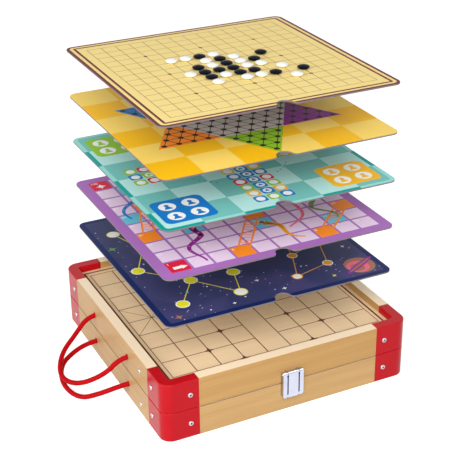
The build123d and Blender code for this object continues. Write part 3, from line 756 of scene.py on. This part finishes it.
def in_field(x, y, reach_x, reach_y):
    """1 in a rectangle round the middle; its half sides are in millimetres."""
    return all_of(within(x, reach_x * MM), within(y, reach_y * MM))


def ruled_lines(along, pitch, half_line, phase=0.0):
    """1 on lines a pitch apart; lengths in millimetres, the phase in pitches."""
    return use_group(along.id_data, ruled, along=along, pitch=pitch * MM, half_line=half_line * MM,
                     phase=phase)["Mask"]


# %% Five-in-a-row: pale yellow, fifteen lines each way, a maroon band on the edge and one inside it
GRID_STEP = 16.0
GRID_REACH = 7.02 * GRID_STEP
shader, spot, x, y = new_board("gomoku_board")
lines = calc("MAXIMUM", ruled_lines(x, GRID_STEP, 0.34), ruled_lines(y, GRID_STEP, 0.34))
lines = all_of(lines, in_field(x, y, GRID_REACH, GRID_REACH))
ground = mixed(lines, (0.88, 0.69, 0.255), (0.28, 0.14, 0.04))
inner_band = all_of(near_edge(spot, 9.7), calc("SUBTRACT", 1.0, near_edge(spot, 6.9)))
bands = calc("MAXIMUM", near_edge(spot, 3.4), inner_band)
print_with(shader, mixed(bands, ground, MAROON), 0.06)

# %% Group: six by six squares of two colours
SQUARE = 2 * BOARD_HALF / 6
square_group, given, result = new_group("squares", {"First": WHITE, "Second": WHITE}, ["Color", "Odd"])
place = mapped(coordinates(square_group)["Object"], scale=(1 / SQUARE, 1 / SQUARE, 0.0),
               location=(0.0, 0.0, 0.5))
chequer = place_node(square_group, "TexChecker", vector=place, color1=given["First"],
                     color2=given["Second"], scale=1.0).outputs
feed_all(result, color=chequer["Color"], odd=chequer["Fac"])

# %% Star hopping: two yellows
shader, spot, x, y = new_board("checkers_board")
tiles = use_group(shader.id_data, square_group, first=(0.98, 0.70, 0.14), second=(0.96, 0.53, 0.003))
print_with(shader, tiles["Color"], 0.06)

# %% Race game: light and deep teal, with a segmented edge
shader, spot, x, y = new_board("ludo_board")
tiles = use_group(shader.id_data, square_group, first=(0.18, 0.54, 0.50), second=(0.48, 0.80, 0.76))
rim = mixed(tiles["Odd"], TEAL, (0.32, 0.72, 0.68))
print_with(shader, mixed(near_edge(spot, 5.0), tiles["Color"], rim), 0.08)

# %% Snakes and ladders: a hundred lilac cells, a little uneven in colour, on purple
CELL = 24.0
CELL_SHARE = 0.445                       # from a cell's middle to its edge, in cells
shader, spot, x, y = new_board("ladders_board")
from_middle = []
for axis in (x, y):
    across = calc("DIVIDE", axis, CELL * MM)
    part = calc("SUBTRACT", across, calc("FLOOR", across))
    from_middle.append(calc("ABSOLUTE", calc("SUBTRACT", part, 0.5)))
in_cell = calc("LESS_THAN", calc("MAXIMUM", *from_middle), CELL_SHARE)
in_cell = all_of(in_cell, in_field(x, y, 5 * CELL, 5 * CELL))
lilac = mixed(noise(spot, 26.0), (0.86, 0.68, 0.90), (0.80, 0.64, 0.80))
print_with(shader, mixed(in_cell, (0.40, 0.16, 0.50), lilac))


# %% Night sky: a violet haze on navy, faint stars where it is thick, a few bright ones and a rim
def star_field(spot, scale, size):
    """1 on small round dots scattered over the sky."""
    flat = mapped(spot, scale=(1, 1, 0))
    cells = place_node(spot.id_data, "TexVoronoi", vector=flat, scale=scale).outputs
    return calc("LESS_THAN", cells["Distance"], size)


shader, spot, x, y = new_board("star_board")
haze = noise(spot, 14.0, 6.0, 1.2)
sky = mixed(ramp(haze, 0.42, 0.72), (0.034, 0.040, 0.125), (0.062, 0.056, 0.17))
faint = all_of(star_field(spot, 150.0, 0.11), calc("GREATER_THAN", haze, 0.47))
sky = mixed(faint, sky, (0.5, 0.5, 0.62))
sky = mixed(star_field(spot, 60.0, 0.06), sky, (0.85, 0.85, 0.95))
print_with(shader, mixed(near_edge(spot, 6.5), sky, (0.005, 0.016, 0.10)))

# %% [markdown]
# ## The print on the lid's panel
#
# The lid carries a river-and-palace board: ten lines by nine, broken at the river in the middle,
# on plywood with a brown border line. Lines like these could be ink shapes too, but a ruled mask
# is lighter, and it lies in the wood as a real print does, with the grain showing through.

# %% Lid panel
RANK = 27.3                              # across the box, ten lines
FILE = 30.25                             # front to back, nine lines
BORDER = 126.7 * MM, 128.9 * MM          # from the middle
LINE_BROWN = (0.12, 0.024, 0.012)
shader, spot, x, y = new_board("lid_panel")
far_x, far_y = calc("ABSOLUTE", x), calc("ABSOLUTE", y)
tan_wood = use_group(shader.id_data, pine_group, vector=mapped(spot, rotation=(0, 0, 0.04)),
                     light=(0.88, 0.66, 0.415), dark=(0.73, 0.51, 0.285), strength=0.7)["Color"]
tan_wood = mixed(calc("MULTIPLY", noise(spot, 16.0), 0.35), tan_wood, (0.90, 0.70, 0.45))
open_water = in_field(x, y, RANK / 2, 3.9 * FILE)
files = all_of(ruled_lines(y, FILE, 0.52), calc("SUBTRACT", 1.0, open_water))
grid = calc("MAXIMUM", ruled_lines(x, RANK, 0.55, 0.5), files)
grid = all_of(grid, in_field(x, y, 4.5 * RANK + 0.3, 4 * FILE + 0.3))
in_palace = all_of(between(far_x, 2.5 * RANK * MM, 4.5 * RANK * MM), within(y, FILE * MM))
ranks_out = calc("DIVIDE", calc("ABSOLUTE", calc("SUBTRACT", far_x, 3.5 * RANK * MM)), RANK * MM)
files_out = calc("DIVIDE", far_y, FILE * MM)
diagonal = within(calc("SUBTRACT", ranks_out, files_out), 0.014)
printed = calc("MAXIMUM", grid, all_of(diagonal, in_palace))
printed = calc("MAXIMUM", printed, between(calc("MAXIMUM", far_x, far_y), *BORDER))
print_with(shader, mixed(printed, tan_wood, LINE_BROWN), back=tan_wood, edge=tan_wood)

# %% [markdown]
# ## The stones
#
# The stones are glossy moulded plastic, black and white. The white ones are slightly warm and let
# a little light in, which a small subsurface weight gives. The black ones mirror little, so that
# they stay black in a white studio.

# %% Stones
black_gloss, shader = new_material("black_stone", base_color=(0.002, 0.003, 0.008), specular_ior_level=0.05,
                                   coat_weight=0.03, coat_roughness=0.04)
wandering_gloss(shader, 200.0, 0.16, 0.10, 0.05)
dress(["black_stones"], black_gloss)
white_gloss, shader = new_material("white_stone", subsurface_weight=0.1, subsurface_scale=2 * MM)
cloud = wandering_gloss(shader, 120.0, 0.20, 0.12, 0.05)
feed(shader.inputs["Base Color"], mixed(cloud, (0.76, 0.76, 0.71), (0.86, 0.86, 0.82)))
dress(["white_stones"], white_gloss)

# %% [markdown]
# ## Ink shapes
#
# The games' figures are printed over the grounds. Each board gets one mesh of ink: circles and
# squares are added in edit mode, given the slot of their ink, and at the end extruded a tenth of
# a millimetre down, so that every shape is a closed solid rooted in the card. Shapes that lie
# over others get the next layer up.

# %% Inks
ink_slots = {}
for name, colour in {
    "white": (0.93, 0.93, 0.91), "black": (0.012, 0.010, 0.012), "grey": (0.60, 0.56, 0.55),
    "red": (0.72, 0.012, 0.045), "blue": (0.003, 0.19, 0.58), "green": (0.28, 0.56, 0.014),
    "yellow": (0.95, 0.50, 0.006), "orange": (0.98, 0.28, 0.014), "purple": (0.30, 0.018, 0.33),
    "cyan": (0.13, 0.58, 0.72), "pink": (0.86, 0.16, 0.26), "lime": (0.90, 0.82, 0.02),
    "gold": (0.90, 0.38, 0.01), "maroon": MAROON, "brown": (0.12, 0.040, 0.024),
    "leaf": (0.13, 0.30, 0.10), "clay": (0.40, 0.17, 0.10), "teal": TEAL,
}.items():
    ink_slots[name], shader = new_material("ink_" + name)
    print_with(shader, colour, 0.12, colour, colour)
print(len(ink_slots), "inks")

# %% Shapes in edit mode; places and sizes in millimetres
FIRST_LAYER = 0.02
NEXT_LAYER = 0.015
ROOT = 0.10
sheet = {"object": None, "top": 0.0, "slots": []}


def start_sheet(board, inks):
    """An empty mesh over a board, in edit mode, with a slot for each ink."""
    thing = edit_new_mesh(board + "_ink", [ink_slots[name] for name in inks])
    sheet.update(object=thing, top=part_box(board)[1][2], slots=inks)


def stamp(name):
    """Gives the shape just added its ink."""
    sheet["object"].active_material_index = sheet["slots"].index(name)
    bpy.ops.object.material_slot_assign()


def height_of(layer):
    """The height of a layer of ink on the board being printed."""
    return sheet["top"] + (FIRST_LAYER + layer * NEXT_LAYER) * MM


def shape_and_turn(centre, width, depth, turn):
    """Stretches the shape just added along X and Y, then turns it about its middle."""
    if (width, depth) != (1, 1):
        bpy.ops.transform.resize(value=(width, depth, 1), center_override=centre)
    if turn:
        bpy.ops.transform.rotate(value=-turn, orient_axis="Z", center_override=centre)


def disc(x, y, radius, name, layer=0, sides=20, turn=0.0, squeeze=1.0):
    """A circle or regular polygon; squeeze narrows it along its own Y."""
    centre = (x * MM, y * MM, height_of(layer))
    bpy.ops.mesh.primitive_circle_add(vertices=sides, radius=radius * MM, fill_type="NGON", location=centre,
                                      rotation=(0, 0, -QUARTER))
    shape_and_turn(centre, 1, squeeze, turn)
    stamp(name)


def block(x, y, width, depth, name, layer=0, turn=0.0, rounding=0.0):
    """A rectangle, with round corners if asked."""
    centre = (x * MM, y * MM, height_of(layer))
    bpy.ops.mesh.primitive_plane_add(size=1, location=centre)
    shape_and_turn(centre, width * MM, depth * MM, turn)
    stamp(name)
    if rounding:
        bpy.ops.mesh.bevel(offset=rounding * MM, offset_type="OFFSET", segments=4, affect="VERTICES")


def stroke(start, end, width, name, layer=0):
    """A straight line of ink between two points."""
    start, end = Vector(start), Vector(end)
    run = end - start
    block(*(start + end) / 2, run.length, width, name, layer, math.atan2(run.y, run.x))


def sparkle(x, y, reach, name, layer=0, turn=0.0, waist=0.26):
    """A star of four points from two crossed lozenges, the second half a layer up."""
    disc(x, y, reach, name, layer, 4, turn, waist)
    disc(x, y, reach, name, layer + 0.5, 4, turn + QUARTER, waist)


def root_in_card():
    """Makes the flat shapes closed solids that reach down into the card."""
    close_shapes(bpy.ops.mesh.extrude_region_move, TRANSFORM_OT_translate={"value": (0, 0, -ROOT * MM)})


def end_sheet(board):
    """Roots the shapes in the card and lets them ride on their board."""
    root_in_card()
    ride_along(sheet["object"], "lid" if board == "lid_panel" else board)


# %% [markdown]
# ### Five-in-a-row and the lid's board
#
# The grid of fifteen lines has nine handicap dots. The lid's board marks the places of cannons
# and soldiers with small flared crosses.

# %% Dots and crosses
start_sheet("gomoku_board", ["maroon"])
for column in (-4, 0, 4):
    for row in (-4, 0, 4):
        disc(column * GRID_STEP, row * GRID_STEP, 2.0, "maroon", sides=16)
end_sheet("gomoku_board")

start_sheet("lid_panel", ["brown"])
marks = [(side * 2.5, file) for side in (-1, 1) for file in (-3, 3)]
marks += [(side * 1.5, file) for side in (-1, 1) for file in (-4, -2, 0, 2, 4)]
for rank, file in marks:
    sparkle(rank * RANK, file * FILE, 7.6, "brown")
    disc(rank * RANK, file * FILE, 1.9, "brown", layer=1, sides=8)
end_sheet("lid_panel")

# %% [markdown]
# ### The hopping star
#
# The star-hopping game is the same the world over: a hexagon with six points, 121 holes on a
# triangular grid, joined along its three directions. A loop over the rows gives each row's
# number of holes, and turning the rows by 60 degrees twice gives all the lines.

# %% Star of 121 places
HOP = 16.0                               # from one place to the next
ROW = HOP * math.sqrt(3) / 2
TIP = 120.0                              # from the middle to a coloured tip
start_sheet("checkers_board", ["grey", "blue", "orange", "green", "purple", "red", "cyan", "black"])
disc(0, 0, TIP / math.sqrt(3), "grey", sides=6)
for sixth, name in enumerate(("blue", "orange", "green", "purple", "red", "cyan")):
    angle = math.radians(150 + 60 * sixth)
    disc(TIP * 2 / 3 * math.cos(angle), TIP * 2 / 3 * math.sin(angle), TIP / 3, name, 0, 3, angle)
for row in range(-8, 9):
    places = 9 + abs(row) if abs(row) <= 4 else 9 - abs(row)
    half_row = (places - 1) / 2 * HOP
    for spoke in (0, 1, 2):
        angle = spoke * math.pi / 3
        if places > 1:
            block(-row * ROW * math.sin(angle), row * ROW * math.cos(angle), 2 * half_row, 0.9,
                  "black", 1 + spoke, angle)
    for place in range(places):
        disc(place * HOP - half_row, row * ROW, 3.1, "black", 1, 12)
end_sheet("checkers_board")

# %% [markdown]
# ### The race game
#
# Four yards in the corners, a cross of three columns with a coloured lane up each middle, and a
# home square: the usual race board. A cell is a round-cornered square with a white disc.

# %% Yards
start_sheet("ludo_board", ["white", "green", "blue", "yellow", "red", "teal"])
for name, side_x, side_y in (("green", -1, 1), ("blue", -1, -1), ("yellow", 1, -1), ("red", 1, 1)):
    yard_x, yard_y = side_x * 93.5, side_y * 92.5
    block(yard_x, yard_y, 56, 52, name, rounding=7.0)
    for pawn_x in (yard_x - 12.5, yard_x + 12.5):
        for pawn_y in (yard_y - 11.5, yard_y + 11.5):
            disc(pawn_x, pawn_y, 9.0, "white", 1, 24)
            disc(pawn_x, pawn_y - 1.6, 4.6, name, 2, 3, QUARTER)
            disc(pawn_x, pawn_y + 2.4, 2.5, name, 3, 12)
            block(pawn_x, pawn_y - 4.6, 8.6, 1.8, name, 3, rounding=0.5)

# %% Track, lanes and home
TRACK_STEP = 15.2
lanes = {"green": math.pi, "blue": -QUARTER, "yellow": 0.0, "red": QUARTER}
cycle = ["red", "green", "yellow", "blue"]
count = 0
for name, angle in lanes.items():
    out_x, out_y = math.cos(angle), math.sin(angle)
    for column in (-1, 0, 1):
        for step in range(2, 8):
            cell_x = TRACK_STEP * (out_x * step - out_y * column)
            cell_y = TRACK_STEP * (out_y * step + out_x * column)
            in_lane = column == 0 and step < 7
            paint = name if in_lane else cycle[count % 4]
            count += 1
            block(cell_x, cell_y, 13.6, 13.6, paint, 0, angle, rounding=3.2)
            disc(cell_x, cell_y, 4.8, "white", 1)
            if in_lane:
                disc(cell_x, cell_y, 3.2, paint, 2, 3, angle + math.pi)
    disc(out_x * TRACK_STEP * 0.95, out_y * TRACK_STEP * 0.95, 14.0, name, 0, 3, angle + math.pi)
    for dot in range(5):                 # a dotted turn from each yard to its first cell
        bow = angle + math.radians(30 + 6 * dot)
        disc(63 * math.cos(bow), 63 * math.sin(bow), 1.1, "teal", 0, 8)
disc(0, 0, 7.5, "white", 1, 24)
sparkle(0, 0, 6.0, "yellow", 2, 0.0, 0.35)
sparkle(0, 0, 4.2, "yellow", 3, math.pi / 4, 0.35)
end_sheet("ludo_board")

# %% [markdown]
# ### Snakes and ladders
#
# The cells are already in the ground. A snake is a row of short overlapping strokes along a sine
# wave that gets thinner towards the tail; a ladder is two rails and a rung every few millimetres.
# Which cells they join is this board's own choice.

# %% Snakes and ladders
SNAKE_BIT = 3.2                          # from one joint of a snake to the next
SNAKE_WIDTH = 7.6
RAIL = 6.0                               # from a ladder's middle to its rails, and between rungs


def cell_at(column, row):
    """The middle of a cell, counted from the front left corner."""
    return Vector((column - 4.5, row - 4.5)) * CELL


def way_between(first, last):
    """The start and length of the way between two cells, and its directions along and aside."""
    start, way = cell_at(*first), cell_at(*last) - cell_at(*first)
    return start, way.length, way.normalized(), way.normalized().orthogonal()


def snake(head, tail, waves, sway, name, spots):
    """A wavy body from head to tail with round joints, and spots along its back."""
    start, length, along, aside = way_between(head, tail)
    bits = int(length / SNAKE_BIT)
    line = []
    for bit in range(bits + 1):
        part = bit / bits
        swing = sway * math.sin(part * waves * 2 * math.pi) * min(1.0, 4 * part)
        line.append(start + along * length * part + aside * swing)
    for bit in range(bits):
        width = SNAKE_WIDTH * (1 - 0.72 * bit / bits)
        stroke(line[bit], line[bit + 1], width, name, 1)
        disc(*line[bit], width / 2, name, 2, 10)
        if bit % 3 == 1 and bit < bits * 0.8:
            disc(*line[bit], width * 0.24, spots, 3, 8)
    disc(*start, 5.6, name, 2, 16, math.atan2(along.y, along.x), 0.8)
    for eye in (-2.0, 2.0):
        disc(*(start + aside * eye), 1.1, "white", 3, 8)


def ladder(foot, top, name):
    """Two rails with rungs between two cells."""
    start, length, along, aside = way_between(foot, top)
    for rail in (aside * -RAIL, aside * RAIL):
        stroke(start + rail, start + rail + along * length, 2.0, name, 1)
    for rung in range(1, int(length / RAIL)):
        middle = start + along * rung * RAIL
        stroke(middle + aside * RAIL, middle - aside * RAIL, 1.5, name, 2)


start_sheet("ladders_board", ["white", "red", "cyan", "orange", "blue", "gold", "pink", "purple", "leaf"])
special = {"red": [(0, 0), (0, 9)], "cyan": [(1, 8), (0, 5), (2, 3), (5, 2), (8, 1), (9, 6)],
           "orange": [(0, 3), (3, 0), (5, 3), (7, 0), (9, 2), (1, 6)]}
for name, cells in special.items():
    for column, row in cells:
        block(*cell_at(column, row), 21.6, 21.6, name, rounding=1.0)
for foot, top in (((3, 0), (5, 3)), ((0, 3), (1, 6)), ((7, 0), (9, 2)), ((6, 5), (5, 8))):
    ladder(foot, top, "orange")
snake((1, 8), (0, 5), 1.0, 8.0, "blue", "cyan")
snake((2, 3), (1, 0), 1.2, 8.0, "purple", "pink")
snake((5, 2), (6, 0), 1.0, 6.0, "gold", "orange")
snake((8, 4), (8, 1), 1.4, 8.0, "leaf", "gold")
snake((9, 6), (6, 1), 1.6, 8.0, "pink", "red")
start_x, start_y = cell_at(0, 0)
block(start_x - 1.5, start_y - 2.5, 9, 5, "white", 1)
disc(start_x + 5.0, start_y - 2.5, 4.6, "white", 1, 3)
finish_x, finish_y = cell_at(0, 9)
sparkle(finish_x, finish_y - 2.5, 6.0, "white", 1, 0.0, 0.38)
sparkle(finish_x, finish_y - 2.5, 4.4, "white", 2, math.pi / 4, 0.38)
end_sheet("ladders_board")

# %% Numbers of the hundred cells
NUMBER_SIZE = 6.0
NUMBER_PLACE = Vector((-9.5, 5.0))       # from a cell's middle
bpy.ops.object.select_all(action="DESELECT")
numbers = []
for number in range(1, 101):
    row, place = divmod(number - 1, 10)
    corner = (cell_at(9 - place if row % 2 else place, row) + NUMBER_PLACE) * MM
    bpy.ops.object.text_add(location=(*corner, height_of(1)))
    words = bpy.context.object
    words.data.body = str(number)
    words.data.size = NUMBER_SIZE * MM
    words.data.resolution_u = 2
    numbers.append(words)
for words in numbers:
    words.select_set(True)
bpy.context.view_layer.objects.active = numbers[0]
bpy.ops.object.convert(target="MESH")
bpy.ops.object.join()
figures = bpy.context.object
figures.name = "ladders_numbers"
bpy.ops.object.transform_apply(location=True, rotation=True, scale=True)
figures.data.materials.clear()
figures.data.materials.append(ink_slots["white"])
bpy.ops.object.mode_set(mode="EDIT")
root_in_card()
ride_along(figures, "ladders_board")

# %% [markdown]
# ### The star chart
#
# Figures of ringed stars joined by thin lines, small four-pointed sparkles and a ringed planet
# in a corner. The figures are invented: any set of points and pairs will do.

# %% Star chart
start_sheet("star_board", ["lime", "white", "gold", "leaf", "clay", "pink", "purple", "cyan"])
figures_of_stars = {
    "lime": ([(-104, 86), (-88, 38), (-112, -8), (-70, -52), (-98, -94), (-34, -98), (-22, -56), (-38, 4)],
             [(0, 1), (1, 2), (2, 3), (3, 4), (3, 5), (5, 6), (6, 7), (7, 1)], 6.4),
    "gold": ([(34, -96), (52, -52), (96, -30), (78, -84), (108, 22), (64, 4)],
             [(0, 1), (1, 2), (2, 3), (3, 0), (1, 5), (5, 4), (4, 2)], 4.8),
    "cyan": ([(-40, 96), (8, 74), (52, 100), (96, 82)], [(0, 1), (1, 2), (2, 3)], 4.8),
}
for name, (stars, pairs, radius) in figures_of_stars.items():
    for first, second in pairs:
        stroke(stars[first], stars[second], 1.0, name)
    for index, star in enumerate(stars):
        ring, heart = ("white", name) if index % 5 else (name, "white")
        disc(*star, radius + 1.2, ring, 1, 28)
        disc(*star, radius, heart, 2, 28)
for x, y, reach, name, turn in (
        (-118, 52, 6, "leaf", 0.3), (-60, -20, 7, "leaf", 0.8), (-112, -116, 5, "clay", 0.2),
        (10, -112, 3, "white", 0.0), (70, -112, 3, "lime", 0.4), (-8, -84, 3, "white", 0.1),
        (22, -40, 5, "leaf", 0.5), (-62, 62, 5, "pink", 0.0), (112, -58, 3, "white", 0.2),
        (-50, -116, 2.5, "white", 0.0), (-84, -74, 2.5, "cyan", 0.3), (44, 30, 4, "clay", 0.1)):
    sparkle(x, y, reach, name, 0, turn, 0.34)
for x, y, radius, name, layer, sides, turn, squeeze in (
        (106, -104, 17, "clay", 0, 40, 0.0, 1.0), (103, -106, 12.5, "pink", 1, 32, 0.0, 1.0),
        (101, -108, 8, "clay", 2, 28, 0.0, 1.0), (106, -104, 24, "purple", 3, 40, 0.5, 0.16),
        (106, -104, 20, "clay", 4, 40, 0.5, 0.09)):
    disc(x, y, radius, name, layer, sides, turn, squeeze)
end_sheet("star_board")
